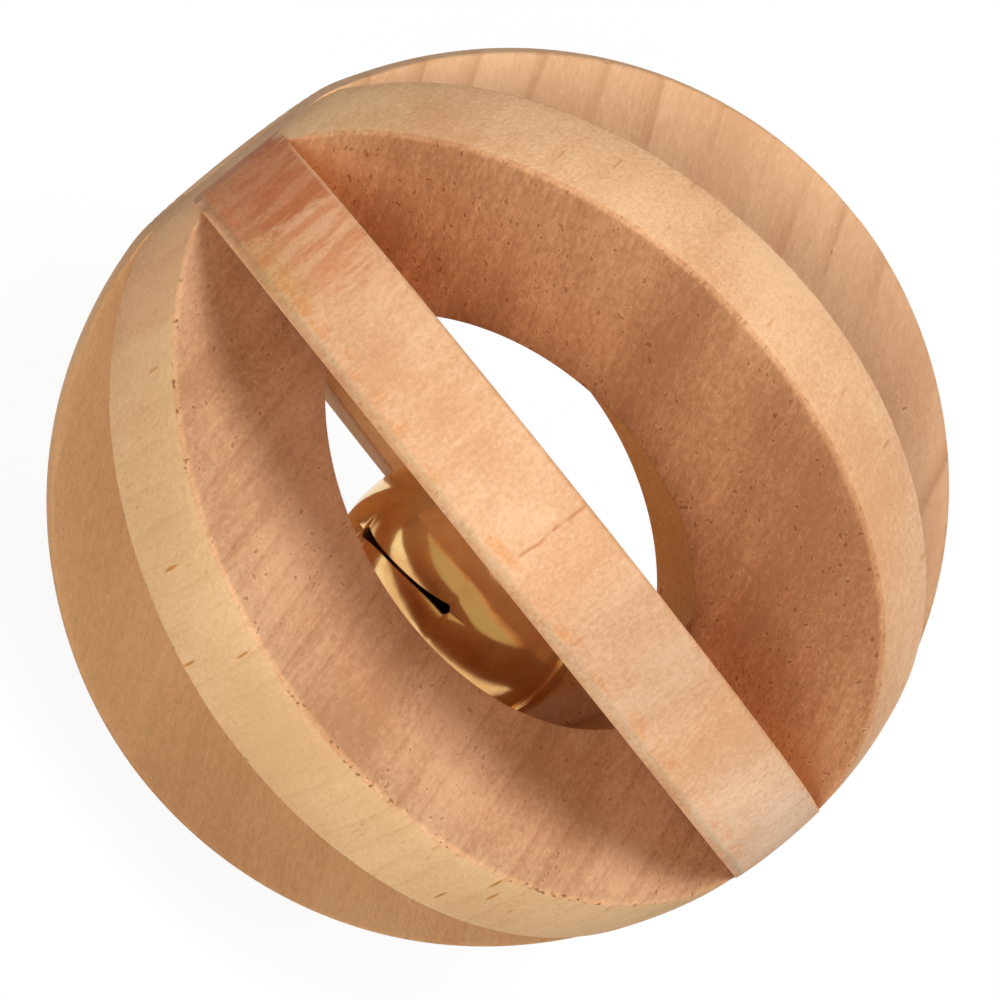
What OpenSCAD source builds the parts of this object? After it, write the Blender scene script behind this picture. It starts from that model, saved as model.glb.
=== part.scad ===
// Wooden ball with a bell: eight flat fins stand round one common axis, like the meridians of
// a globe. One fin pair is a whole ring. The other six are half rings, glued to it and to each
// other with mitred ends. Every fin has a round hole, and the holes leave a cage for the bell.
//
// Frame: X is the common axis, Z is up, the front is -Y. The origin is the centre of the ball.
// A fin angle is counted from the front over the top, so 0 is -Y, 90 is +Z and 180 is +Y.
// The ball lies on the rims of the ring and of the lower back fin, with a gap facing down.

/* [Ball] */
// Radius of the ball about its common axis, over the ring and the back fins
ball_r = 30; // [28:0.1:34]
// How much further the two side fins of the front are sanded down than the rest
front_sanded = 0.4; // [0:0.05:1]
// How much less the ball measures towards its poles than about the axis
squash = 0.65; // [0:0.05:1.5]
// Depth to which the left pole is sanded flat
left_flat_depth = 0.95; // [0.3:0.05:2.5]
// Depth to which the right pole is sanded flat
right_flat_depth = 1.35; // [0.3:0.05:2.5]

/* [Fins] */
// Thickness of the board that all fins are cut from
board_t = 7; // [4:0.1:8]
// Width of the eased arris along each rim
arris = 0.3; // [0.1:0.05:1]
// Angle of the front half ring, and of the ring square to it
front_angle = 22.5; // [15:0.1:30]
// Angle of the upper front fin
upper_front_angle = 66.9; // [60:0.1:75]
// Angle of the upper back fin
upper_back_angle = 155.5; // [150:0.1:165]
// Angle of the back half ring
back_angle = 205.7; // [195:0.1:208]
// Angle of the lower back fin
lower_back_angle = 247.5; // [242:0.1:255]
// Angle of the lower front fin
lower_front_angle = 339.3; // [330:0.1:345]

/* [Holes] */
// Radius of the hole in the ring, both half rings and the lower back fin
hole_r = 16.8; // [13:0.1:20]
// Radius of the hole in the upper front fin
upper_front_hole_r = 16.1; // [13:0.1:20]
// Radius of the hole in the upper back fin
upper_back_hole_r = 16.5; // [13:0.1:20]
// Radius of the hole in the lower front fin
lower_front_hole_r = 17.4; // [13:0.1:20]

/* [Bell] */
// Outer radius of the bell's round shell
bell_r = 9.25; // [6:0.05:10]
// Thickness of the bell's sheet metal
bell_wall = 0.45; // [0.3:0.05:0.8]
// How far the seam's two flanges stand out from the shell
seam_out = 0.3; // [0.1:0.05:0.6]
// Height of each flange of the seam
seam_h = 0.4; // [0.2:0.05:0.8]
// Width of the sound slot at its middle
slot_w = 0.25; // [0.2:0.05:0.8]
// Width of the sound slot at its two ends
slot_end_w = 1; // [0.8:0.05:2]
// Length of the sound slot, measured straight across
slot_len = 9; // [5:0.1:11]
// Outer radius of the wire loop
loop_r = 1.8; // [1.2:0.05:2]
// Thickness of the loop's wire
loop_wire = 0.9; // [0.5:0.05:1.2]
// Radius of the loose pellet
pellet_r = 2; // [1:0.05:3]
// How far the bell lies from the lowest gap line, towards +X, as an angle at the ball's centre
bell_lean = 31; // [0:1:45]
// How far the bell has rolled from straight down towards the back, as an angle
bell_roll = 5; // [-10:1:10]
// Clearance of the bell's seam from the hole wall that the bell lies on
bell_gap = 0.05; // [0.05:0.05:1]
// Tip of the bell's slotted side from straight up towards the front
bell_tip = 87; // [75:1:100]
// Turn of the tipped bell about the upright, where less is towards -X
bell_heading = -35; // [-50:1:-20]
// Turn of the slot about the bell's own axis
bell_spin = 20; // [0:1:45]

/* [Hidden] */

$fn = 180;
half_t = board_t / 2;
ring_angle = front_angle + 90;
// Larger than anything in the ball, for cutting blocks
reach = 3 * ball_r;

// The arc that shapes the ball, and the distances from the centre to the flats at its poles
arc_r = ball_r - squash;
left_pole = arc_r - left_flat_depth;
right_pole = arc_r - right_flat_depth;

// Where the bell lies: its direction from the ball's centre, and the distance at which the
// seam flange comes within bell_gap of the first hole wall
bell_out = bell_r + seam_out;
bell_dir = [sin(bell_lean),
            sin(bell_roll) * cos(bell_lean),
            -cos(bell_roll) * cos(bell_lean)];
cage = [[front_angle, hole_r], [upper_front_angle, upper_front_hole_r], [ring_angle, hole_r],
        [upper_back_angle, upper_back_hole_r], [back_angle, hole_r], [lower_back_angle, hole_r],
        [ring_angle + 180, hole_r], [lower_front_angle, lower_front_hole_r]];
function radial(angle) = [0, -cos(angle), sin(angle)];
function normal(angle) = [0, sin(angle), cos(angle)];
// Share of the bell's offset that lies in the plane of a fin
function in_plane(angle) = sqrt(1 - pow(bell_dir * normal(angle), 2));
bell_offset = min([for (fin = cage) if (bell_dir * radial(fin[0]) > 0)
                   (fin[1] - bell_out - bell_gap) / in_plane(fin[0])]);

// The pellet lies at the bottom of the bell, clear of the sheet metal
pellet_gap = 0.05;
pellet_drop = bell_r - bell_wall - pellet_r - pellet_gap;

wood = [0.86, 0.68, 0.49];
gold = [0.80, 0.62, 0.28];
steel = [0.66, 0.66, 0.66];

// Turns a shape that is drawn towards the front (-Y) up to a fin's angle
module at_angle(angle) {
    rotate([-angle, 0, 0]) children();
}

// The whole ball, sanded down by some depth: the arc, centred squash less that depth off the
// axis, turned about X and cut off flat at both poles
module ball_body(sanded) {
    rotate([0, 90, 0])
        rotate_extrude()
            intersection() {
                translate([squash - sanded, 0]) circle(r = arc_r);
                translate([0, -left_pole]) square([ball_r, left_pole + right_pole]);
            }
}

// A flat disc with a hole, turned about Z, with both rim arrises eased at 45 degrees
module eased_disc(r, hole) {
    rim = sqrt(r * r - half_t * half_t);
    over = arris / 2 + r - rim;
    rotate_extrude()
        polygon([[hole, -half_t], [rim - arris, -half_t], [rim + over, arris + over - half_t],
                 [rim + over, half_t - arris - over], [rim - arris, half_t], [hole, half_t]]);
}

// One whole ring of the ball, lying in the XY plane
module ring(sanded, hole) {
    intersection() {
        ball_body(sanded);
        eased_disc(ball_r - sanded, hole);
    }
}

// The board of a whole ring at an angle, for cutting the ends of the pieces that butt on it
module board_cut(angle) {
    at_angle(angle) cube([reach, reach, board_t], center = true);
}

// Half a ring at an angle, on one side of the common axis
module half(angle, sanded, hole) {
    at_angle(angle)
        intersection() {
            ring(sanded, hole);
            translate([-reach / 2, -reach, -board_t]) cube([reach, reach, 2 * board_t]);
        }
}

// A half ring that butts on both faces of the ring's board
module half_ring(angle, hole) {
    color(wood)
        difference() {
            half(angle, 0, hole);
            board_cut(ring_angle);
        }
}

// A half ring whose mitred ends fill the corner between the ring and another half ring
module corner_fin(angle, beside, sanded, hole) {
    color(wood)
        difference() {
            half(angle, sanded, hole);
            board_cut(ring_angle);
            board_cut(beside);
        }
}

module full_ring() {
    color(wood) at_angle(ring_angle) ring(0, hole_r);
}

module front_half_ring() {
    half_ring(front_angle, hole_r);
}

module back_half_ring() {
    half_ring(back_angle, hole_r);
}

module upper_front_fin() {
    corner_fin(upper_front_angle, front_angle, front_sanded, upper_front_hole_r);
}

module upper_back_fin() {
    corner_fin(upper_back_angle, back_angle, 0, upper_back_hole_r);
}

module lower_back_fin() {
    corner_fin(lower_back_angle, back_angle, 0, hole_r);
}

module lower_front_fin() {
    corner_fin(lower_front_angle, front_angle, front_sanded, lower_front_hole_r);
}

// Places a shape that is drawn round the origin, with its slot up, where the bell lies
module at_bell() {
    translate(bell_offset * bell_dir)
        rotate([0, 0, bell_heading])
            rotate([bell_tip, 0, 0])
                rotate([0, 0, bell_spin])
                    children();
}

// Half of the round shell above the seam, with its flange
module half_shell() {
    difference() {
        union() {
            sphere(r = bell_r);
            cylinder(r = bell_out, h = seam_h);
        }
        sphere(r = bell_r - bell_wall);
        translate([0, 0, -bell_out]) cube(2 * bell_out, center = true);
    }
}

// The sound slot, narrow at its middle and wide at both ends
module sound_slot() {
    half_len = slot_len / 2;
    linear_extrude(height = 2 * bell_r)
        polygon([[-half_len, -slot_end_w / 2], [0, -slot_w / 2], [half_len, -slot_end_w / 2],
                 [half_len, slot_end_w / 2], [0, slot_w / 2], [-half_len, slot_end_w / 2]]);
}

module bell_slotted_shell() {
    color(gold)
        at_bell()
            difference() {
                half_shell();
                sound_slot();
            }
}

module bell_plain_shell() {
    color(gold) at_bell() mirror([0, 0, 1]) half_shell();
}

// A ring of wire that stands on the plain shell, with its feet on the sheet metal
module bell_loop() {
    centre_r = loop_r - loop_wire / 2;
    color(gold)
        at_bell()
            difference() {
                translate([0, 0, -bell_r - centre_r / 2])
                    rotate([90, 0, 0])
                        rotate_extrude() translate([centre_r, 0]) circle(d = loop_wire, $fn = 48);
                sphere(r = bell_r);
            }
}

module bell_pellet() {
    color(steel)
        translate(bell_offset * bell_dir - [0, 0, pellet_drop])
            sphere(r = pellet_r, $fn = 72);
}

full_ring();
front_half_ring();
back_half_ring();
upper_front_fin();
upper_back_fin();
lower_back_fin();
lower_front_fin();
bell_slotted_shell();
bell_plain_shell();
bell_loop();
bell_pellet();
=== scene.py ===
"""Wooden ball with a bell: looks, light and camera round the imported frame.

Frame: X is the common axis of the fins, Z is up, the front is -Y, and the origin is the centre
of the ball. A fin angle is counted from the front over the top. Shapes are worked out in
millimetres, and solid_object() turns them into metres.
"""

import bmesh
import bpy
import numpy as np
from mathutils import Matrix, Vector


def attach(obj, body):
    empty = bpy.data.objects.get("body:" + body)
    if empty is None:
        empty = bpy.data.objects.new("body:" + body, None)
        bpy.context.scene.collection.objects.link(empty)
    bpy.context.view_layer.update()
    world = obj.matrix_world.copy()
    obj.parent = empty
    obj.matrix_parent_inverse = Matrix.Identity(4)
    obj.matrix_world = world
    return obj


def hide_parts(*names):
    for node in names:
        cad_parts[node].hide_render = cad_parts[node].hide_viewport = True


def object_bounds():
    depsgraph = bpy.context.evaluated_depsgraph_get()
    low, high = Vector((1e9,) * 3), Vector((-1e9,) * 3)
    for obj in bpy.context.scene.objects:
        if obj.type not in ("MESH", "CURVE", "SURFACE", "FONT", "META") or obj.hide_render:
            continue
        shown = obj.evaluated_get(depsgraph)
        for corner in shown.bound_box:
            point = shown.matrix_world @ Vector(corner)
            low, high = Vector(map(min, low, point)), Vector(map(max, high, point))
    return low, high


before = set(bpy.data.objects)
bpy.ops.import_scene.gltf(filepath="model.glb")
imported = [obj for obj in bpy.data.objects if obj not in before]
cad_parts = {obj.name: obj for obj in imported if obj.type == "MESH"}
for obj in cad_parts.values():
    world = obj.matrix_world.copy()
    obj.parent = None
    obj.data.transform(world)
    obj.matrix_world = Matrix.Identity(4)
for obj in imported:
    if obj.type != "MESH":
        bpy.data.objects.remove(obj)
cad_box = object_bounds()

# ---------------------------------------------------------------- sizes, as in the part's source
BALL_R, FRONT_SANDED, SQUASH = 30.0, 0.4, 0.65
ARC_R = BALL_R - SQUASH
LEFT_POLE, RIGHT_POLE = ARC_R - 0.95, ARC_R - 1.35
BOARD_T = 7.0
HALF_T = BOARD_T / 2

FRONT_ANGLE, UPPER_FRONT_ANGLE, RING_ANGLE, UPPER_BACK_ANGLE = 22.5, 66.9, 112.5, 155.5
BACK_ANGLE, LOWER_BACK_ANGLE, LOWER_FRONT_ANGLE = 205.7, 247.5, 339.3
HOLE_R = 16.8
# Radius of the hole at each fin angle, all the way round the axis
CAGE = {FRONT_ANGLE: HOLE_R, UPPER_FRONT_ANGLE: 16.1, RING_ANGLE: HOLE_R,
        UPPER_BACK_ANGLE: 16.5, BACK_ANGLE: HOLE_R, LOWER_BACK_ANGLE: HOLE_R,
        RING_ANGLE + 180: HOLE_R, LOWER_FRONT_ANGLE: 17.4}

BELL_R, BELL_WALL, SEAM_OUT, SEAM_H = 9.25, 0.45, 0.3, 0.4
SLOT_W, SLOT_END_W, SLOT_LEN = 0.25, 1.0, 9.0
BELL_LEAN, BELL_ROLL, BELL_GAP = 31.0, 5.0, 0.05
BELL_TIP, BELL_HEADING, BELL_SPIN = 87.0, -35.0, 20.0

# ---------------------------------------------------------------- sizes of the finish, in mm
HOLE_EASE = 0.12  # rounding of the two edges of a hole
RIM_INSET = 0.065  # how far the rims lie inside the solid, so that their waves stay in it
OPEN_RIM = 2.2  # way past a crotch over which an arris reaches its full rounding
POLE_SOFT = 0.05  # softness of the corner between a rim and a sanded pole
DENT, DENT_REACH = 0.25, 1.1  # depth and reach of the valley pressed in along the slot
DENT_FADE, DENT_OVERRUN = 2.5, 2.0  # how slowly the valley dies out, and how far past the slot
SEAM_EASE = 0.17  # rounding of the seam's two lips


# ---------------------------------------------------------------- mesh helpers
def grid_faces(rows, cols, wrap_rows=False, wrap_cols=False):
    """Quads between the neighbours of a rows x cols grid of points, numbered row by row."""
    index = np.arange(rows * cols).reshape(rows, cols)
    if wrap_rows:
        index = np.vstack([index, index[:1]])
    if wrap_cols:
        index = np.hstack([index, index[:, :1]])
    corners = [index[:-1, :-1], index[1:, :-1], index[1:, 1:], index[:-1, 1:]]
    return np.stack(corners, -1).reshape(-1, 4)


def solid_object(name, patches, material, crease=40.0):
    """One mesh object from patches of (points in mm, quads, masks). Points that coincide become
    one, the faces point outwards, and edges sharper than crease degrees stay sharp."""
    points = np.concatenate([p.reshape(-1, 3) for p, _, _ in patches]) / 1000.0
    starts = np.cumsum([0] + [p.reshape(-1, 3).shape[0] for p, _, _ in patches[:-1]])
    quads = np.concatenate([q + start for (_, q, _), start in zip(patches, starts)])
    mesh = bpy.data.meshes.new(name)
    mesh.from_pydata(points.tolist(), [], quads.tolist())
    for mask in patches[0][2]:
        values = [np.broadcast_to(m[mask], p.shape[:-1]).ravel() for p, _, m in patches]
        layer = mesh.attributes.new(mask, "FLOAT", "POINT")
        layer.data.foreach_set("value", np.concatenate(values).astype(np.float32))
    work = bmesh.new()
    work.from_mesh(mesh)
    bmesh.ops.remove_doubles(work, verts=work.verts, dist=1e-6)
    bmesh.ops.dissolve_degenerate(work, edges=work.edges, dist=1e-7)
    bmesh.ops.recalc_face_normals(work, faces=work.faces)
    work.to_mesh(mesh)
    work.free()
    mesh.polygons.foreach_set("use_smooth", np.ones(len(mesh.polygons), bool))
    mesh.set_sharp_from_angle(angle=np.radians(crease))
    mesh.materials.append(material)
    obj = bpy.data.objects.new(name, mesh)
    bpy.context.scene.collection.objects.link(obj)
    return obj


def dress(obj, node):
    """The piece stands for its CAD node and rides on the one body."""
    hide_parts(node)
    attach(obj, "root")


def radial(angle):
    """Straight out from the axis, in the plane of the fin at that angle."""
    a = np.radians(angle)
    return np.array([0, -np.cos(a), np.sin(a)])


def normal(angle):
    """Square to the fin at that angle, towards the next fin above."""
    a = np.radians(angle)
    return np.array([0, np.sin(a), np.cos(a)])


def smooth(x):
    """3 x^2 - 2 x^3 between 0 and 1."""
    x = np.clip(x, 0, 1)
    return x * x * (3 - 2 * x)


# ---------------------------------------------------------------- the wooden fins
def rim_reach(psi, h, sanded):
    """Distance d from the ball's centre to the rim, in a plane h off the fin's mid plane and at
    angle psi from straight out. The ball is an arc of radius r about a centre q off the axis, so
    (sqrt((d cos psi)^2 + h^2) - q)^2 + (d sin psi)^2 = r^2, solved by repetition. The sanded pole
    cuts it at d |sin psi| = pole, and a soft minimum rounds the corner between them."""
    q = SQUASH - sanded
    d = np.full(np.broadcast(psi, h).shape, ARC_R, float)
    for _ in range(8):
        out = np.sqrt((d * np.cos(psi)) ** 2 + h ** 2)
        d = np.sqrt(ARC_R ** 2 - h ** 2 - q ** 2 + 2 * q * out)
    pole = np.where(np.sin(psi) < 0, LEFT_POLE, RIGHT_POLE) / np.maximum(np.abs(np.sin(psi)), 1e-3)
    near = np.minimum(d, pole)
    by_arc = np.exp((near - d) / POLE_SOFT)
    by_pole = np.exp(np.maximum((near - pole) / POLE_SOFT, -60.0))
    return near - POLE_SOFT * np.log(by_arc + by_pole)


def section_rows(side_steps=14, ease_steps=5):
    """Rows of the fin's section from the hole's wall over the board's face to the rim: share of
    the way f, then how much of the hole's and of the rim's rounding is cut off the length and off
    the half width. Both corners are quarter circles, (1 - sin t, 1 - cos t)."""
    t = np.radians(np.linspace(90, 0, ease_steps + 1))
    flat = np.zeros_like(t)
    hole = np.stack([flat, 1 - np.sin(t), 1 - np.cos(t), flat, flat], 1)
    side = [(f, 1, 0, 1, 0) for f in np.linspace(0, 1, side_steps + 1)[1:-1]]
    rim = np.stack([flat + 1, flat, flat, 1 - np.sin(t), 1 - np.cos(t)], 1)[::-1]
    return np.concatenate([hole, side, rim])


def butt_height(angle, h, boards):
    """How far out from the axis a fin's end plane lies, h off its mid plane: each board that the
    fin butts on keeps y |sin a| + h sign cos a >= t / 2, with a the angle from board to fin."""
    out = np.zeros_like(h)
    for board in boards:
        a = np.radians(angle - board)
        out = np.maximum(out, (HALF_T - h * np.sign(np.sin(a)) * np.cos(a)) / abs(np.sin(a)))
    return out


def crotch_depths(ends):
    """How far off the axis a board's lower and its upper face meet the next fin's face. Two faces
    a gap g apart meet t / 2 tan(g / 2) out, and g is a mean over the fin angles of its ends."""
    depths = []
    for way in (-1, 1):
        gaps = [min(way * (beside - end) % 360 for beside in CAGE if beside != end)
                for end in ends]
        depths.append(HALF_T / np.tan(np.radians(np.mean(gaps) / 2)))
    return depths


def fin(name, angle, sanded, material, boards, ease, seed, turn_steps=330):
    """A flat fin of the ball: its section goes round the hole in the plane at that fin angle.
    With no boards it is a whole ring. With boards it is half a ring, and both ends are cut off
    flat where it butts on them. ease is the rounding of the rim's lower and upper arris. It dies
    out at the crotch, where the next fin's face starts and all rims are sanded as one."""
    hole = CAGE[angle]
    rows = section_rows()
    s = np.linspace(-1, 1, 9)
    f, hole_in, hole_side, rim_in, rim_side = (rows[:, k:k + 1] + 0 * s for k in range(5))
    s = s + 0 * f
    rounding = np.where(s < 0, *ease)
    crotch = np.where(s < 0, *crotch_depths((angle,) if boards else (angle, angle + 180)))

    def section(psi, pick):
        """Distance from the centre and height off the mid plane of the picked section points at
        angle psi. Two slow waves of a few hundredths of a millimetre run along the rim."""
        flat = HALF_T * s[pick]
        reach = rim_reach(psi, flat, sanded)
        open_rim = smooth((np.abs(np.cos(psi)) * reach - crotch[pick]) / OPEN_RIM)
        cut = rounding[pick] * open_rim
        h = s[pick] * (HALF_T - hole_side[pick] * HOLE_EASE - rim_side[pick] * cut)
        wave = (0.03 * np.sin(3.1 * psi + seed)
                + 0.02 * np.sin(7.3 * psi + 2.2 * seed + 0.4 * flat))
        rim = rim_reach(psi, h, sanded) - rim_in[pick] * cut - RIM_INSET + wave * open_rim
        return (1 - f[pick]) * (hole + hole_in[pick] * HOLE_EASE) + f[pick] * rim, h

    # The way round the section: hole wall, one face, rim, other face
    n, m = f.shape
    way = np.array([(0, k) for k in range(m)] + [(j, m - 1) for j in range(1, n)]
                   + [(n - 1, k) for k in range(m - 2, -1, -1)]
                   + [(j, 0) for j in range(n - 2, 0, -1)]).T
    way = (way[0], way[1])

    def place(d, psi, h):
        """d sin psi along X, d cos psi outwards and h off the fin's plane."""
        along, out = (d * np.sin(psi))[..., None], (d * np.cos(psi))[..., None]
        return along * np.array([1.0, 0, 0]) + out * radial(angle) + h[..., None] * normal(angle)

    def masks(pick, shape):
        """Where the rim is, and where its two rounded arrises are."""
        on_rim = rim_side[pick] * (f[pick] >= 1)
        outermost = (f[pick] >= 1) & (np.abs(s[pick]) > 0.999)
        arris = np.where(outermost, 1 - (2 * on_rim - 1) ** 2, 0)
        return {"rim": np.broadcast_to(on_rim, shape), "arris": np.broadcast_to(arris, shape)}

    patches = []
    if boards:
        # Both end faces: where each section line meets the end plane, found by repetition
        ends = {}
        for side in (-1, 1):
            psi = np.full(f.shape, side * 1.4)
            for _ in range(40):
                d, h = section(psi, ...)
                psi = side * np.arccos(np.clip(butt_height(angle, h, boards) / d, 0, 1))
            ends[side] = psi
            patches.append((place(d, psi, h), grid_faces(n, m), masks(..., f.shape)))
        u = np.linspace(-1, 1, turn_steps)[:, None]
        psi = np.where(u < 0, -u * ends[-1][way], u * ends[1][way])
    else:
        turn = np.linspace(0, 2 * np.pi, 2 * turn_steps, endpoint=False)[:, None]
        psi = np.broadcast_to(turn, (2 * turn_steps, way[0].size))
    d, h = section(psi, way)
    faces = grid_faces(*psi.shape, wrap_rows=not boards, wrap_cols=True)
    patches.append((place(d, psi, h), faces, masks(way, psi.shape)))
    return solid_object(name, patches, material)


# ---------------------------------------------------------------- node helpers
class Nodes:
    """Short hand for building a node tree: each call adds a node and returns an output."""

    def __init__(self, tree):
        self.tree = tree

    def feed(self, socket, value):
        """Links an output to the socket, or writes a plain value on it."""
        if isinstance(value, bpy.types.NodeSocket):
            self.tree.links.new(value, socket)
        else:
            socket.default_value = value

    def add(self, kind, inputs=(), out=0, **settings):
        """A node of one kind. Each input is an output to link, or a plain value."""
        node = self.tree.nodes.new(kind)
        for key, value in settings.items():
            setattr(node, key, value)
        for key, value in dict(inputs).items():
            self.feed(node.inputs[key], value)
        return node.outputs[out] if len(node.outputs) else node

    def group(self, tree, inputs):
        """A node group fed with the inputs. Returns all of its outputs."""
        return self.add("ShaderNodeGroup", inputs, node_tree=tree).node.outputs

    def math(self, operation, a, b=0.0):
        """One operation on a and b, or on a alone."""
        return self.add("ShaderNodeMath", {0: a, 1: b}, operation=operation)

    def fit(self, value, low, high, to_low=0.0, to_high=1.0):
        """An S-curve from to_low, where the value is low, to to_high, where it is high."""
        return self.add("ShaderNodeMapRange", {0: value, 1: low, 2: high, 3: to_low, 4: to_high},
                        interpolation_type="SMOOTHSTEP")

    def band(self, value, middle, none, full):
        """1 where the value is within full of the middle, and 0 from none away."""
        away = self.math("ABSOLUTE", self.math("SUBTRACT", value, middle))
        return self.fit(away, none, full)

    def mix(self, factor, a, b, blend="MIX"):
        """The colour a where the factor is 0, and b, or a blended with b, where it is 1."""
        node = self.tree.nodes.new("ShaderNodeMix")
        node.data_type, node.blend_type = "RGBA", blend
        for number, value in ((0, factor), (6, a), (7, b)):
            self.feed(node.inputs[number], value)
        return node.outputs[2]

    def tint(self, factor, colour, by):
        """The colour, with its red, green and blue multiplied where the factor is 1."""
        return self.mix(factor, colour, (*by, 1.0), "MULTIPLY")

    def parts(self, vector):
        """The x, y and z of a vector."""
        return self.add("ShaderNodeSeparateXYZ", {0: vector}).node.outputs

    def stretch(self, vector, scale, shift=(0, 0, 0)):
        """The vector, scaled axis by axis and then shifted."""
        return self.add("ShaderNodeMapping", {"Vector": vector, "Scale": scale, "Location": shift})

    def noise(self, vector, scale=1.0, detail=2.0, rough=0.5, out=0):
        """Smooth noise about 0.5, with detail finer octaves. With out=1 it is a colour."""
        return self.add("ShaderNodeTexNoise", {"Vector": vector, "Scale": scale,
                                               "Detail": detail, "Roughness": rough}, out=out)

    def bent(self, vector, scale, amount):
        """The point, moved about by amount mm of noise, so that cells become ragged."""
        about = self.noise(vector, scale, 1.0, out=1)
        return self.add("ShaderNodeVectorMath", {0: about, 1: (amount, amount, amount),
                                                 2: vector}, operation="MULTIPLY_ADD")

    def cells(self, vector, scale=1.0):
        """Distance to the nearest of many scattered points."""
        return self.add("ShaderNodeTexVoronoi", {"Vector": vector, "Scale": scale},
                        out="Distance")

    def object_point(self):
        """Where the point lies on the object, in metres."""
        return self.add("ShaderNodeTexCoord", out="Object")

    def rays(self):
        """1 for rays straight from the camera, and 1 for those and for rays off mirrors and
        through glass. Both are 0 for the light that falls on things."""
        path = self.tree.nodes.new("ShaderNodeLightPath").outputs
        seen = self.math("MAXIMUM", path["Is Camera Ray"], path["Is Glossy Ray"])
        return path["Is Camera Ray"], self.math("MAXIMUM", seen, path["Is Transmission Ray"])


def new_group(name, inputs, outputs):
    """An empty node group with inputs of (name, kind, default) and outputs of (name, kind)."""
    tree = bpy.data.node_groups.new(name, "ShaderNodeTree")
    for label, kind, default in inputs:
        socket = tree.interface.new_socket(label, in_out="INPUT", socket_type="NodeSocket" + kind)
        if default is not None:
            socket.default_value = default
    for label, kind in outputs:
        tree.interface.new_socket(label, in_out="OUTPUT", socket_type="NodeSocket" + kind)
    ends = tree.nodes.new("NodeGroupInput"), tree.nodes.new("NodeGroupOutput")
    return tree, Nodes(tree), ends[0].outputs, ends[1].inputs


def new_material(name):
    """A material with an empty node tree."""
    mat = bpy.data.materials.new(name)
    mat.use_nodes = True
    mat.node_tree.nodes.clear()
    return mat, Nodes(mat.node_tree)


def srgb(r, g, b):
    """A written 0-255 colour as linear light."""
    c = np.array([r, g, b]) / 255.0
    lin = np.where(c <= 0.04045, c / 12.92, ((c + 0.055) / 1.055) ** 2.4)
    return (*[float(v) for v in lin], 1.0)


# ---------------------------------------------------------------- wood
# What the wood's colour is multiplied by in late wood, in a fleck, in the painted highlight round
# a fleck and in a rim's dash
LATE_WOOD, FLECK = (0.66, 0.50, 0.40), (0.42, 0.27, 0.18)
FLECK_GLINT, DASH = (1.16, 1.22, 1.28), (0.72, 0.48, 0.24)
TORN_PIT = srgb(134, 78, 42)
TO_MM = (1000, 1000, 1000)


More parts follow.
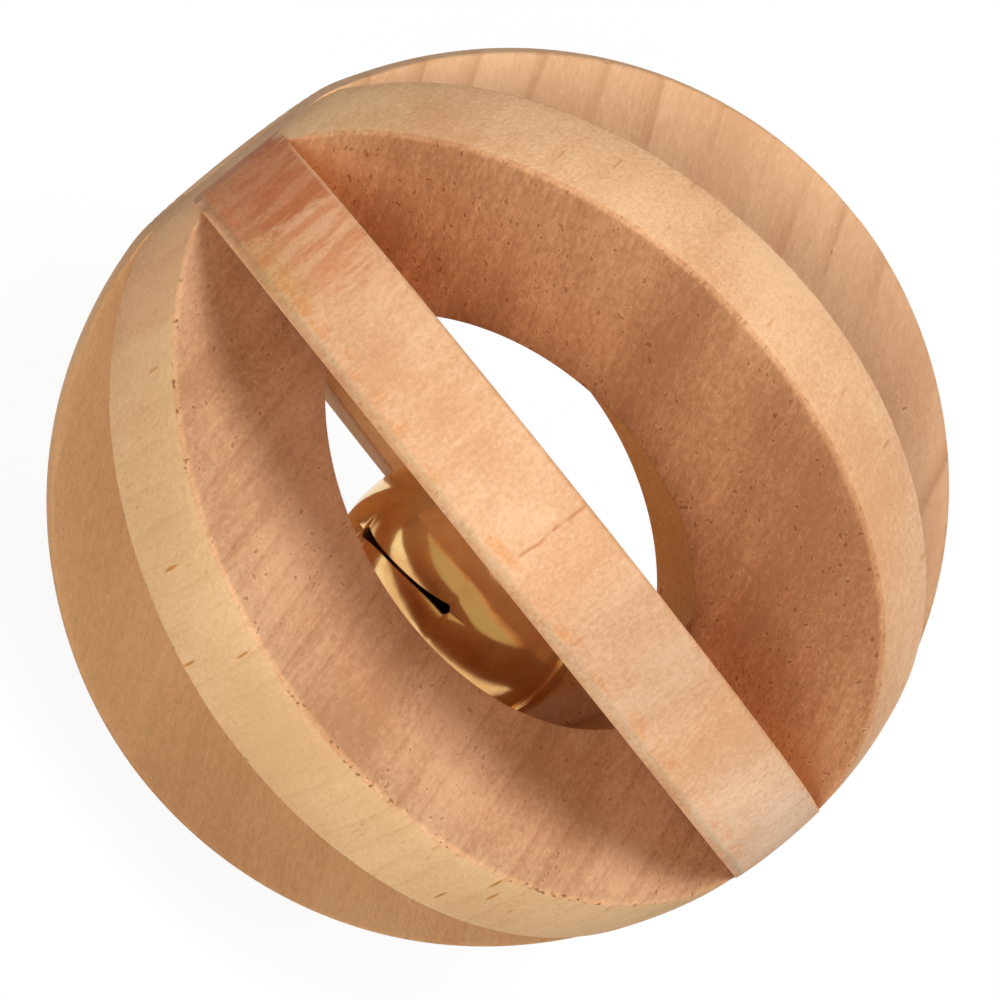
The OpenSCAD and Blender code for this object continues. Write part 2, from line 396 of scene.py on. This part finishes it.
def build_board_grain():
    """Grain of a sawn board, from a point in the board's own axes in mm: x runs with the grain,
    z through the board. Growth is the dark late wood of each year, thin where Line is high, round
    a far pith and bent by Sway mm. Fibre is fine streaks along x, Fleck the short dark ray ends
    that lie in rows, each ringed by a pale painted highlight, Fuzz the fine mottle of a sanded
    surface and Drift the slow change over the board. Height is the roughness that catches the
    light."""
    tree, n, i, o = new_group(
        "board_grain",
        [("Point", "Vector", None), ("Year", "Float", 3.0), ("Pith", "Vector", (0, 60, 15)),
         ("Line", "Float", 4.0), ("Sway", "Float", 3.0), ("Fleck Share", "Float", 0.5)],
        [("Growth", "Float"), ("Fibre", "Float"), ("Fleck", "Float"), ("Fleck Glint", "Float"),
         ("Fuzz", "Float"), ("Drift", "Float"), ("Height", "Float")])
    p = i["Point"]

    warp = n.noise(n.stretch(p, (0.03, 0.05, 0.05)), detail=1.0)
    ripple = n.noise(n.stretch(p, (0.10, 0.35, 0.15)), detail=0.0)
    from_pith = n.add("ShaderNodeVectorMath", {0: n.stretch(p, (0.04, 1, 1)), 1: i["Pith"]},
                      operation="SUBTRACT")
    far = n.add("ShaderNodeVectorMath", {0: from_pith}, out="Value", operation="LENGTH")
    bend = n.math("ADD", n.math("MULTIPLY", warp, i["Sway"]), n.math("MULTIPLY", ripple, 0.8))
    year = n.math("FRACT", n.math("DIVIDE", n.math("ADD", far, bend), i["Year"]))
    late = n.math("MULTIPLY", n.math("POWER", year, i["Line"]), n.fit(year, 1.0, 0.9))
    broken = n.noise(n.stretch(p, (0.09, 0.3, 0.12), (7, 3, 1)), detail=1.0)
    growth = n.math("MULTIPLY", late, n.fit(broken, 0.36, 0.62, 0.05, 1.0))

    coarse = n.noise(n.stretch(p, (0.07, 0.9, 0.25)), detail=3.0, rough=0.62)
    fine = n.noise(n.stretch(p, (0.45, 4.2, 1.8)), rough=0.6)
    fibre = n.math("ADD", n.math("MULTIPLY", coarse, 0.6), n.math("MULTIPLY", fine, 0.4))

    # Flecks lie at scattered points. Luck picks which of them get one, and favours some rows
    nearest = n.cells(n.stretch(n.bent(p, 1.3, 0.9), (1.15, 2.3, 0.6)))
    luck = n.add("ShaderNodeSeparateColor", {0: nearest.node.outputs["Color"]})
    rows = n.noise(n.stretch(p, (0.05, 0.42, 0.2), (2, 9, 4)), detail=1.0)
    share = n.math("ADD", i["Fleck Share"], n.fit(rows, 0.36, 0.64, -0.32, 0.3))
    size = n.math("MULTIPLY", n.fit(n.math("SUBTRACT", share, luck), 0.0, 0.35), 0.25)
    there = n.math("GREATER_THAN", size, 0.02)
    beside = n.math("SUBTRACT", nearest, size)
    fleck = n.math("MULTIPLY", n.fit(beside, 0.02, -0.06), there)
    # A painted highlight: a pale ring round each fleck
    round_it = n.math("MULTIPLY", n.fit(beside, 0.22, 0.06), n.math("SUBTRACT", 1.0, fleck))
    fleck_glint = n.math("MULTIPLY", round_it, there)

    fuzz = n.noise(n.stretch(p, (1.8, 3.4, 3.0), (3, 3, 3)), rough=0.7)
    drift = n.noise(n.stretch(p, (0.05, 0.11, 0.11), (11, 5, 2)), rough=0.55)
    height = n.math("ADD", n.math("MULTIPLY", fine, 0.25), n.math("MULTIPLY", fuzz, 0.55))
    made = {"Growth": growth, "Fibre": fibre, "Fleck": fleck, "Fleck Glint": fleck_glint, "Fuzz": fuzz,
            "Drift": drift, "Height": height}
    for label, value in made.items():
        tree.links.new(value, o[label])
    return tree


def build_sanded_edge():
    """What sanding does to a board: the rim, where the sander runs, has its own colour, and the
    eased arris a tint that is broken here and there. Where the rim is paler than the face and the
    arris paler still, that is partly the sanded wood's tone, partly painted light on the rim and a
    painted highlight along the arris. A few dark dashes on the rim run through the board. Pits,
    where the grain tears out, come in clusters along the arris."""
    tree, n, i, o = new_group(
        "sanded_edge",
        [("Colour", "Color", (0.8, 0.8, 0.8, 1)), ("Point", "Vector", None),
         ("Rim", "Float", 0.0), ("Arris", "Float", 0.0),
         ("Rim Colour", "Color", (0.8, 0.8, 0.8, 1)), ("Arris Tint", "Color", (1, 1, 1, 1)),
         ("Pitting", "Float", 0.5)],
        [("Colour", "Color"), ("Pit", "Float")])
    p = i["Point"]

    # The rim's colour and the arris tint: partly the sanded wood's tone, partly painted light and a
    # painted highlight where they are paler than the face
    colour = n.mix(i["Rim"], i["Colour"], i["Rim Colour"])
    arris_wear_and_glint = n.math("MULTIPLY", i["Arris"], n.fit(n.noise(p, 0.9, 1.0), 0.35, 0.6, 0.3, 1.0))
    colour = n.mix(arris_wear_and_glint, colour, n.mix(1.0, i["Colour"], i["Arris Tint"], "MULTIPLY"))

    dash = n.fit(n.cells(n.stretch(p, (0.04, 1.25, 0.2))), 0.17, 0.08)
    dash = n.math("MULTIPLY", dash, n.fit(n.noise(p, 0.16, 1.0), 0.46, 0.56))
    dash = n.math("MULTIPLY", dash, n.math("MULTIPLY", i["Rim"], i["Pitting"]))
    colour = n.tint(dash, colour, DASH)

    rag = n.math("MULTIPLY", n.math("SUBTRACT", n.noise(p, 1.6, 1.0), 0.5), 1.1)
    torn = n.fit(n.math("ADD", i["Arris"], rag), 0.12, 0.4)
    pit = n.fit(n.cells(n.bent(p, 2.0, 0.7), 1.6), 0.32, 0.2)
    pit = n.math("MULTIPLY", pit, n.fit(n.noise(p, 0.25, 1.0), 0.38, 0.52))
    pit = n.math("MULTIPLY", n.math("MULTIPLY", pit, torn), i["Pitting"])
    tree.links.new(colour, o["Colour"])
    tree.links.new(pit, o["Pit"])
    return tree


GRAIN, EDGE = build_board_grain(), build_sanded_edge()


def wood(name, angle, turn, pale, deep, shift=(0, 0, 0), year=3.0, pith=(0, 60, 15), line=4.0,
         sway=3.0, growth=0.5, fleck=0.5, fleck_depth=0.6, rim=None, arris_tint=(1.04, 1.0, 0.92),
         pitting=0.5, plain_below=False, marks=None):
    """Bare sanded wood of one fin. The board's axes are the object's, turned about X by the fin
    angle and then in the board's plane by turn, so that the grain lies the way it was sawn. rim
    is the rim's deep and pale colour, if it isn't the board's; where it is paler than the face,
    that is partly the rim's own tone and partly painted light. With plain_below the growth lines
    fade out on the lower half."""
    mat, n = new_material(name)
    point = n.object_point()
    board = n.add("ShaderNodeMapping", {"Vector": point, "Scale": TO_MM, "Location": shift,
                                        "Rotation": (np.radians(angle), 0, np.radians(turn))})
    grain = n.group(GRAIN, {"Point": board, "Year": year, "Pith": pith, "Line": line,
                            "Sway": sway, "Fleck Share": fleck})
    on_rim = n.add("ShaderNodeAttribute", out="Fac", attribute_name="rim")
    arris = n.add("ShaderNodeAttribute", out="Fac", attribute_name="arris")

    # The grain's noises, weighted and summed, are spread over the two written colours
    drift, fuzz = n.math("MULTIPLY", grain["Drift"], 0.9), n.math("MULTIPLY", grain["Fuzz"], 0.55)
    tone = n.math("ADD", n.math("MULTIPLY", grain["Fibre"], 0.5), n.math("ADD", drift, fuzz))
    tone = n.fit(tone, 0.74, 1.22)

    # On the rim the flecks fade to a fifth, and the growth lines to about a half
    flecks = n.math("MULTIPLY", n.fit(on_rim, 0.0, 1.0, 1.0, 0.2), fleck_depth)
    dark, fleck_glint = (n.math("MULTIPLY", grain[kind], flecks) for kind in ("Fleck", "Fleck Glint"))
    lines = n.math("MULTIPLY", grain["Growth"], n.fit(on_rim, 0.0, 1.0, growth, 0.55 * growth))
    if plain_below:
        lines = n.math("MULTIPLY", lines, n.fit(n.parts(point)[2], -0.008, 0.004, 0.08, 1.0))

    def bare(low, high):
        """Wood between two written colours, with its growth lines, its flecks and the painted
        highlight round each fleck.
        """
        colour = n.tint(lines, n.mix(tone, srgb(*low), srgb(*high)), LATE_WOOD)
        # The pale ring round each fleck is a painted highlight
        return n.tint(fleck_glint, n.tint(dark, colour, FLECK), FLECK_GLINT)

    # A rim colour paler than the face is partly painted light
    face = bare(deep, pale)
    edge = n.group(EDGE, {"Colour": face, "Rim Colour": bare(*rim) if rim else face,
                          "Point": board, "Rim": on_rim, "Arris": arris,
                          "Arris Tint": (*arris_tint, 1.0), "Pitting": pitting})
    colour = n.mix(n.math("MULTIPLY", edge["Pit"], 0.75), edge["Colour"], TORN_PIT)
    if marks:
        flat = n.add("ShaderNodeMapping", {"Vector": point, "Scale": TO_MM,
                                           "Rotation": (np.radians(angle), 0, 0)})
        colour = marks(n, flat, colour, on_rim)
    bump = n.add("ShaderNodeBump", {"Strength": 0.7, "Distance": 0.0002,
                                    "Height": grain["Height"]})
    rough = n.fit(grain["Fuzz"], 0.3, 0.7, 0.75, 0.6)
    shader = n.add("ShaderNodeBsdfPrincipled", {"Base Color": colour, "Roughness": rough,
                                                "Normal": bump, "Specular IOR Level": 0.12})
    n.add("ShaderNodeOutputMaterial", {"Surface": shader})
    return mat


# Marks on single fins. Each takes a point in mm, turned by the fin angle: its x lies along the
# common axis, y is less than nought on the fin's own side of it, and z is how far above the
# fin's mid plane it is.
def front_marks(n, point, colour, rim):
    """Marks on the rim of the front half ring: old glue and finger dirt at its left pole end, and
    single lines, bands and a change of tone further on. The greyish band along the lower arris is
    painted shade."""
    x, _, off = n.parts(point)
    unmarked = colour

    # Reddish streaks from some 17 mm out, fainter at the lower arris
    blot = n.noise(n.stretch(point, (0.55, 0.9, 0.9)), detail=4.0, rough=0.6)
    ragged = n.math("SUBTRACT", x, n.math("MULTIPLY", off, 0.18))
    ragged = n.math("ADD", ragged, n.math("MULTIPLY", blot, 3.4))
    streak = n.fit(n.noise(n.stretch(point, (1.7, 0.1, 0.16)), detail=3.0, rough=0.6), 0.38, 0.62)
    past = n.math("MULTIPLY", n.fit(ragged, -15.0, -20.5), n.fit(off, -3.0, 0.5, 0.4, 1.0))
    past = n.math("MULTIPLY", past, n.fit(streak, 0, 1, 0.45, 1.0))
    colour = n.tint(past, colour, (0.82, 0.56, 0.45))

    # A pale yellow patch on the lower side, and the ragged stain from some 24 mm out
    yellow = n.math("MULTIPLY", n.band(ragged, -20.5, 3.2, 1.4), n.fit(off, -0.4, -2.0))
    colour = n.tint(n.math("MULTIPLY", yellow, 0.8), colour, (0.93, 0.93, 0.76))
    cloudy = n.fit(n.noise(point, 0.45, 3.0), 0.3, 0.6, 0.8, 1.0)
    stain = n.math("MULTIPLY", n.fit(ragged, -22.3, -23.3), cloudy)
    colour = n.tint(stain, colour, (0.79, 0.61, 0.52))

    # Duller wood past the middle, and paler, less orange towards the right pole
    colour = n.tint(n.band(x, 8.0, 8.0, 2.0), colour, (0.84, 0.85, 0.89))
    colour = n.tint(n.fit(x, 14.0, 25.0), colour, (1.14, 1.28, 1.50))

    # One thin dark line across the rim near its middle, broken, and clear of the lower arris
    wavy = n.math("ADD", x, n.math("MULTIPLY", n.noise(point, 0.5), 0.6))
    across = n.math("MULTIPLY", n.band(wavy, -1.35, 0.16, 0.02), n.fit(off, -2.6, -1.2))
    broken = n.fit(n.noise(n.stretch(point, (0.4, 0.4, 1.3))), 0.35, 0.58, 0.15, 0.75)
    colour = n.tint(n.math("MULTIPLY", across, broken), colour, (0.74, 0.50, 0.36))

    # Orange streaks above the lower arris, and painted shade along it: a greyish band where the
    # rounded arris turns from the light
    patchy = n.fit(n.noise(n.stretch(point, (0.35, 1, 1)), detail=3.0), 0.45, 0.62)
    warm = n.math("MULTIPLY", n.band(off, -2.3, 0.7, 0.2), patchy)
    colour = n.tint(n.math("MULTIPLY", warm, 0.7), colour, (1.0, 0.80, 0.62))
    # Painted shade: the greyish band along the lower arris
    colour = n.tint(n.fit(off, -2.65, -3.05), colour, (0.80, 0.90, 0.92))
    return n.mix(rim, unmarked, colour)


def end_tint(by):
    """A handled look on the rim at its left pole end, from some 24 mm out along the axis."""
    def marks(n, point, colour, rim):
        x = n.parts(point)[0]
        ragged = n.math("ADD", x, n.math("MULTIPLY", n.noise(point, 0.5, 3.0), 2.0))
        return n.tint(n.math("MULTIPLY", n.fit(ragged, -22.6, -23.6), rim), colour, by)
    return marks


def ring_tone_and_shade(n, point, colour, rim):
    """The whole ring is paler towards the left pole. Its lower half, which the lower front fin
    shades, is painted a little darker and yellower than its upper half: painted shade."""
    x, out, _ = n.parts(point)
    colour = n.tint(n.fit(x, 6.0, -6.0), colour, (1.10, 1.14, 1.14))
    # Painted shade: the lower half darker and yellower
    return n.tint(n.fit(out, -6.0, 6.0), colour, (0.91, 0.85, 0.71))


# ---------------------------------------------------------------- the bell
def bell_place():
    """Turn and centre of the bell, which has its slot up in its own frame. It is spun about its
    own axis, tipped about X, headed about Z and moved out to where its seam comes to rest on the
    nearest fin."""
    lean, roll = np.radians(BELL_LEAN), np.radians(BELL_ROLL)
    way = np.array([np.sin(lean), np.sin(roll) * np.cos(lean), -np.cos(roll) * np.cos(lean)])
    away = [(hole - BELL_R - SEAM_OUT - BELL_GAP) / np.sqrt(1 - (way @ normal(angle)) ** 2)
            for angle, hole in CAGE.items() if way @ radial(angle) > 0]
    turn = (Matrix.Rotation(np.radians(BELL_HEADING), 3, "Z")
            @ Matrix.Rotation(np.radians(BELL_TIP), 3, "X")
            @ Matrix.Rotation(np.radians(BELL_SPIN), 3, "Z"))
    return np.array(turn), min(away) * way


BELL_TURN, BELL_CENTRE = bell_place()


def at_bell(points):
    """Points of the bell's own frame, put where the bell lies."""
    return points @ BELL_TURN.T + BELL_CENTRE


def revolve(profile, steps=160):
    """A closed profile of (r, z) points carried round Z: (r cos t, r sin t, z)."""
    t = np.linspace(0, 2 * np.pi, steps, endpoint=False)[:, None]
    r, z = profile[:, 0], profile[:, 1]
    points = np.stack([r * np.cos(t), r * np.sin(t), np.broadcast_to(z, (steps, z.size))], -1)
    return at_bell(points), grid_faces(steps, z.size, wrap_rows=True, wrap_cols=True), {}


def seam_profile(side):
    """Section of one rolled flange: a rounded lip from the seam's plane, out to its rim and back
    into the shell, side 1 above and -1 below."""
    t = np.radians(np.linspace(0, 90, 8))
    root, lip = BELL_R - 0.3, BELL_R + SEAM_OUT - 0.05
    r = np.concatenate([[root, lip, lip], lip - SEAM_EASE + SEAM_EASE * np.cos(t), [root]])
    z = np.concatenate([[0.0, 0.0, 0.1], SEAM_H - SEAM_EASE + SEAM_EASE * np.sin(t), [SEAM_H]])
    return np.stack([r, side * z], 1)


def dome(side, slotted, across=50, along=185):
    """Half the round shell as a closed skin, outside and inside. A point is at x = r sin b along
    the slot and at angle a from the top, y = r cos b sin a, z = r cos b cos a. The slot's edge is
    at a = asin(w / 2 r cos b). Its width w narrows to the middle, and within half its end width
    of its end, e away, it closes as a circle, w = 2 sqrt(e (end width - e)). The metal on both
    sides is pressed in by dent exp(-arc / reach), a valley that dies out past the slot's ends."""
    b = np.radians(np.linspace(-90, 90, along))[:, None]
    x, girth = BELL_R * np.sin(b), BELL_R * np.cos(b)
    flare = SLOT_W + (SLOT_END_W - SLOT_W) * (np.abs(x) / (SLOT_LEN / 2)) ** 3.5
    e = np.clip(SLOT_LEN / 2 - np.abs(x), 0, SLOT_END_W / 2)
    width = np.minimum(flare, 2 * np.sqrt(e * (SLOT_END_W - e))) * slotted
    valley = smooth((SLOT_LEN / 2 + DENT_OVERRUN - np.abs(x)) / DENT_FADE) * slotted
    start = np.arcsin(np.clip(width / 2 / np.maximum(girth, 1e-6), 0, 1))
    a = start + (np.pi / 2 - start) * np.linspace(0, 1, across)[None, :] ** 1.6
    dent = DENT * valley * np.exp(-(a - start) * girth / DENT_REACH)
    patches = []
    for hand in (-1, 1):
        outer, inner = (np.stack([r * np.sin(b), hand * r * np.cos(b) * np.sin(a),
                                  side * r * np.cos(b) * np.cos(a)], -1)
                        for r in (BELL_R - dent, BELL_R - BELL_WALL - dent))
        both = np.concatenate([outer, inner[:, ::-1]], 1)
        patches.append((at_bell(both), grid_faces(along, 2 * across, wrap_cols=slotted), {}))
    return patches


def gold_plate():
    """Bright gold plate on thin brass: not quite even, with patches that are redder and duller,
    and small dark specks of tarnish."""
    mat, n = new_material("bright_gold_plate")
    mm = n.stretch(n.object_point(), TO_MM)
    patch = n.fit(n.noise(mm, 0.22, 4.0, 0.55), 0.42, 0.62)
    speck = n.fit(n.noise(mm, 5.0, 3.0, 0.6), 0.62, 0.75)
    colour = n.mix(patch, srgb(252, 211, 142), srgb(240, 184, 116))
    colour = n.mix(n.math("MULTIPLY", speck, 0.35), colour, srgb(130, 78, 36))
    rough = n.math("ADD", n.fit(patch, 0, 1, 0.12, 0.2), n.math("MULTIPLY", speck, 0.12))
    wobble = n.math("ADD", n.noise(mm, 0.35), n.math("MULTIPLY", n.noise(mm, 4.0), 0.04))
    bump = n.add("ShaderNodeBump", {"Strength": 0.12, "Distance": 0.0004, "Height": wobble})
    shader = n.add("ShaderNodeBsdfPrincipled", {"Base Color": colour, "Metallic": 0.88,
                                                "Roughness": rough, "Normal": bump})
    n.add("ShaderNodeOutputMaterial", {"Surface": shader})
    return mat


def pellet_steel():
    """Dull rolled steel of the loose pellet, with fine scratches."""
    mat, n = new_material("pellet_steel")
    mm = n.stretch(n.object_point(), TO_MM)
    scratch = n.noise(n.stretch(mm, (1, 9, 3)), detail=4.0, rough=0.6)
    colour = n.mix(scratch, srgb(150, 150, 152), srgb(186, 186, 188))
    shader = n.add("ShaderNodeBsdfPrincipled", {"Base Color": colour, "Metallic": 1.0,
                                                "Roughness": n.fit(scratch, 0.3, 0.7, 0.25, 0.45)})
    n.add("ShaderNodeOutputMaterial", {"Surface": shader})
    return mat


# ---------------------------------------------------------------- pieces
ON_RING = (RING_ANGLE,)
ON_RING_AND_FRONT, ON_RING_AND_BACK = (RING_ANGLE, FRONT_ANGLE), (RING_ANGLE, BACK_ANGLE)
FINS = [
    # node, angle, sanded down, boards it butts on, rounding of its lower and upper arris, wood
    ("front_half_ring", FRONT_ANGLE, 0, ON_RING, (0.6, 0.3),
     dict(pale=(244, 197, 154), deep=(222, 166, 122), turn=86, shift=(3, 5, 2), pith=(0, 200, 0),
          year=3.4, line=6.0, sway=1.5, growth=0.3, fleck=0.02, arris_tint=(1.0, 0.90, 0.80),
          pitting=0.25, marks=front_marks)),
    ("full_ring", RING_ANGLE, 0, (), (0.3, 0.3),
     dict(pale=(230, 183, 141), deep=(214, 163, 122), turn=-55, shift=(45, 12, 3),
          pith=(0, 80, 0), year=3.7, line=5.5, sway=7.5, growth=0.85, plain_below=True,
          fleck=0.02, arris_tint=(1.02, 0.95, 0.86), pitting=0.3, marks=ring_tone_and_shade)),
    # Paler than the front fins: painted light, brightening the inside of the cage seen through the
    # holes
    ("back_half_ring", BACK_ANGLE, 0, ON_RING, (0.3, 0.3),
     dict(pale=(250, 204, 152), deep=(234, 180, 126), turn=70, shift=(31, 7, 3), year=4.0,
          growth=0.3, fleck=0.05)),
    # Face painted darker, rim and arris paler than the board: partly the wood's tone, partly
    # painted shade on the face, painted light on the rim and a painted highlight along the arris
    ("upper_front_fin", UPPER_FRONT_ANGLE, FRONT_SANDED, ON_RING_AND_FRONT, (0.35, 0.35),
     dict(pale=(219, 164, 118), deep=(180, 124, 84), turn=-65, shift=(5, 17, 1),
          pith=(0, 12, 70), year=9.0, growth=0.1, fleck=0.72, fleck_depth=0.52,
          rim=((228, 171, 125), (250, 201, 155)), arris_tint=(1.2, 1.2, 1.2),
          marks=end_tint((0.99, 1.03, 0.97)))),
    # Both back fins are paler than the front fins: painted light, brightening the inside of the
    # cage
    ("upper_back_fin", UPPER_BACK_ANGLE, 0, ON_RING_AND_BACK, (0.3, 0.3),
     dict(pale=(250, 210, 158), deep=(236, 188, 134), turn=-50, shift=(12, 3, 9), year=5.0,
          growth=0.3, fleck=0.05)),
    ("lower_back_fin", LOWER_BACK_ANGLE, 0, ON_RING_AND_BACK, (0.3, 0.3),
     dict(pale=(240, 192, 144), deep=(220, 166, 116), turn=15, shift=(2, 41, 9), year=4.5,
          growth=0.3, fleck=0.05)),
    # Face painted darker, rim and arris paler than the board: partly the wood's tone, partly
    # painted shade on the face, painted light on the rim and a painted highlight along the arris
    ("lower_front_fin", LOWER_FRONT_ANGLE, FRONT_SANDED, ON_RING_AND_FRONT, (0.25, 0.35),
     dict(pale=(220, 175, 136), deep=(188, 140, 101), turn=86, shift=(14, 6, 5),
          pith=(0, 200, 0), year=1.8, line=5.0, sway=1.4, growth=0.55, fleck=0.4,
          fleck_depth=0.5, rim=((229, 182, 131), (243, 199, 148)), arris_tint=(1.28, 1.19, 1.10),
          pitting=1.0, marks=end_tint((0.94, 0.84, 0.84)))),
]
for number, (node, angle, sanded, boards, ease, looks) in enumerate(FINS):
    finish = wood("wood_" + node, angle, **looks)
    piece = fin(node + "_wood", angle, sanded, finish, boards, ease, seed=1.7 * number)
    dress(piece, node)

gold = gold_plate()
for half, side in (("slotted", 1), ("plain", -1)):
    skins = dome(side, side > 0) + [revolve(seam_profile(side))]
    piece = solid_object("bell_" + half + "_half", skins, gold, 50)
    dress(piece, "bell_" + half + "_shell")
for node, finish in (("bell_loop", gold), ("bell_pellet", pellet_steel())):
    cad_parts[node].data.materials.clear()
    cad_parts[node].data.materials.append(finish)


# ---------------------------------------------------------------- floor, light and camera
WHITE, WARM_WALL = (1, 1, 1, 1), (0.46, 0.37, 0.23, 1)
PAPER, PAPER_SHADE, PAPER_GLOW = (0.86, 0.86, 0.85, 1), (0.10, 0.10, 0.10, 1), 0.93
FLOOR_HALF = 3.0  # half the side of the floor, in metres

# The camera's angles in degrees, its place in mm and its lens on a 36 mm wide sensor
CAMERA_AZIMUTH, CAMERA_HEIGHT, CAMERA_ROLL = -10.5994, 21.4277, 55.3411
CAMERA_PLACE = (-47.278, -253.208, 101.061)
CAMERA_LENS, CAMERA_SENSOR = 150.45, 36.0


def pale_floor(z):
    """A flat square under the ball. The camera and mirrors see it close to white, with the ball's
    soft shadow, and it lights the object as plain pale paper does."""
    mat, n = new_material("pale_paper")
    paper = n.add("ShaderNodeBsdfDiffuse", {"Color": PAPER})
    shade = n.add("ShaderNodeBsdfDiffuse", {"Color": PAPER_SHADE})
    glow = n.add("ShaderNodeEmission", {"Color": WHITE, "Strength": PAPER_GLOW})
    lit = n.add("ShaderNodeAddShader", {0: shade, 1: glow})
    _, seen = n.rays()
    surface = n.add("ShaderNodeMixShader", {0: seen, 1: paper, 2: lit})
    n.add("ShaderNodeOutputMaterial", {"Surface": surface})
    mesh = bpy.data.meshes.new("floor")
    corners = [(x * FLOOR_HALF, y * FLOOR_HALF, z) for x, y in ((-1, -1), (1, -1), (1, 1), (-1, 1))]
    mesh.from_pydata(corners, [], [(0, 1, 2, 3)])
    mesh.materials.append(mat)
    obj = bpy.data.objects.new("floor", mesh)
    bpy.context.scene.collection.objects.link(obj)


def soft_lamp(name, way, distance, size, power):
    """A square soft lamp out along way, facing the ball, in metres and watts."""
    lamp = bpy.data.lights.new(name, "AREA")
    lamp.size, lamp.energy = size, power
    obj = bpy.data.objects.new(name, lamp)
    bpy.context.scene.collection.objects.link(obj)
    place = Vector(way).normalized() * distance
    facing = place.to_track_quat("Z", "Y").to_matrix().to_4x4()
    obj.matrix_world = Matrix.Translation(place) @ facing
    return obj


def pale_world():
    """A faint fill that grows towards both sides. The camera sees a white backdrop in its place.
    Mirrors see the same white behind the ball, and a dimmer, warm wall in front of it."""
    world = bpy.data.worlds.new("studio")
    bpy.context.scene.world = world
    world.use_nodes = True
    world.node_tree.nodes.clear()
    n = Nodes(world.node_tree)
    x, y, _ = n.parts(n.add("ShaderNodeTexCoord", out="Generated"))
    camera, seen = n.rays()
    fill = n.fit(n.math("ABSOLUTE", x), 0.5, 1.0, 0.03, 0.25)
    light = n.add("ShaderNodeBackground", {"Color": (1.0, 0.99, 0.97, 1), "Strength": fill})
    backdrop = n.math("MAXIMUM", camera, n.fit(y, 0.0, 0.5))
    wall = n.add("ShaderNodeBackground", {"Color": n.mix(backdrop, WARM_WALL, WHITE)})
    surface = n.add("ShaderNodeMixShader", {0: seen, 1: light, 2: wall})
    n.add("ShaderNodeOutputWorld", {"Surface": surface})


def front_camera():
    """A long lens at the front, a little to the left and above, rolled over so that the common
    axis runs from the upper left to the lower right. At azimuth 0 it would look along +Y."""
    data = bpy.data.cameras.new("camera")
    data.lens, data.sensor_width = CAMERA_LENS, CAMERA_SENSOR
    data.clip_start, data.clip_end = 0.01, 20.0
    obj = bpy.data.objects.new("camera", data)
    bpy.context.scene.collection.objects.link(obj)
    azimuth, height, roll = np.radians((CAMERA_AZIMUTH, CAMERA_HEIGHT, CAMERA_ROLL))
    back = Vector((np.sin(azimuth) * np.cos(height), -np.cos(azimuth) * np.cos(height),
                   np.sin(height)))
    level = Vector((np.cos(azimuth), np.sin(azimuth), 0))
    right = level * np.cos(roll) + back.cross(level) * np.sin(roll)
    turn = Matrix((right, back.cross(right), back)).transposed().to_4x4()
    obj.matrix_world = Matrix.Translation(Vector(CAMERA_PLACE) / 1000) @ turn
    bpy.context.scene.camera = obj


pale_floor(cad_box[0].z)
pale_world()
soft_lamp("top_lamp", way=(0.0, -0.53, 0.85), distance=0.55, size=0.2, power=2.05)
front_lamp = soft_lamp("front_lamp", way=(-0.15, -1.0, 0.06), distance=0.6, size=0.3, power=1.85)
soft_lamp("back_lamp", way=(0.4, 1.0, 0.35), distance=0.6, size=0.3, power=1.5)
front_lamp.visible_glossy = False
front_camera()
bpy.context.scene.view_settings.view_transform = "Standard"
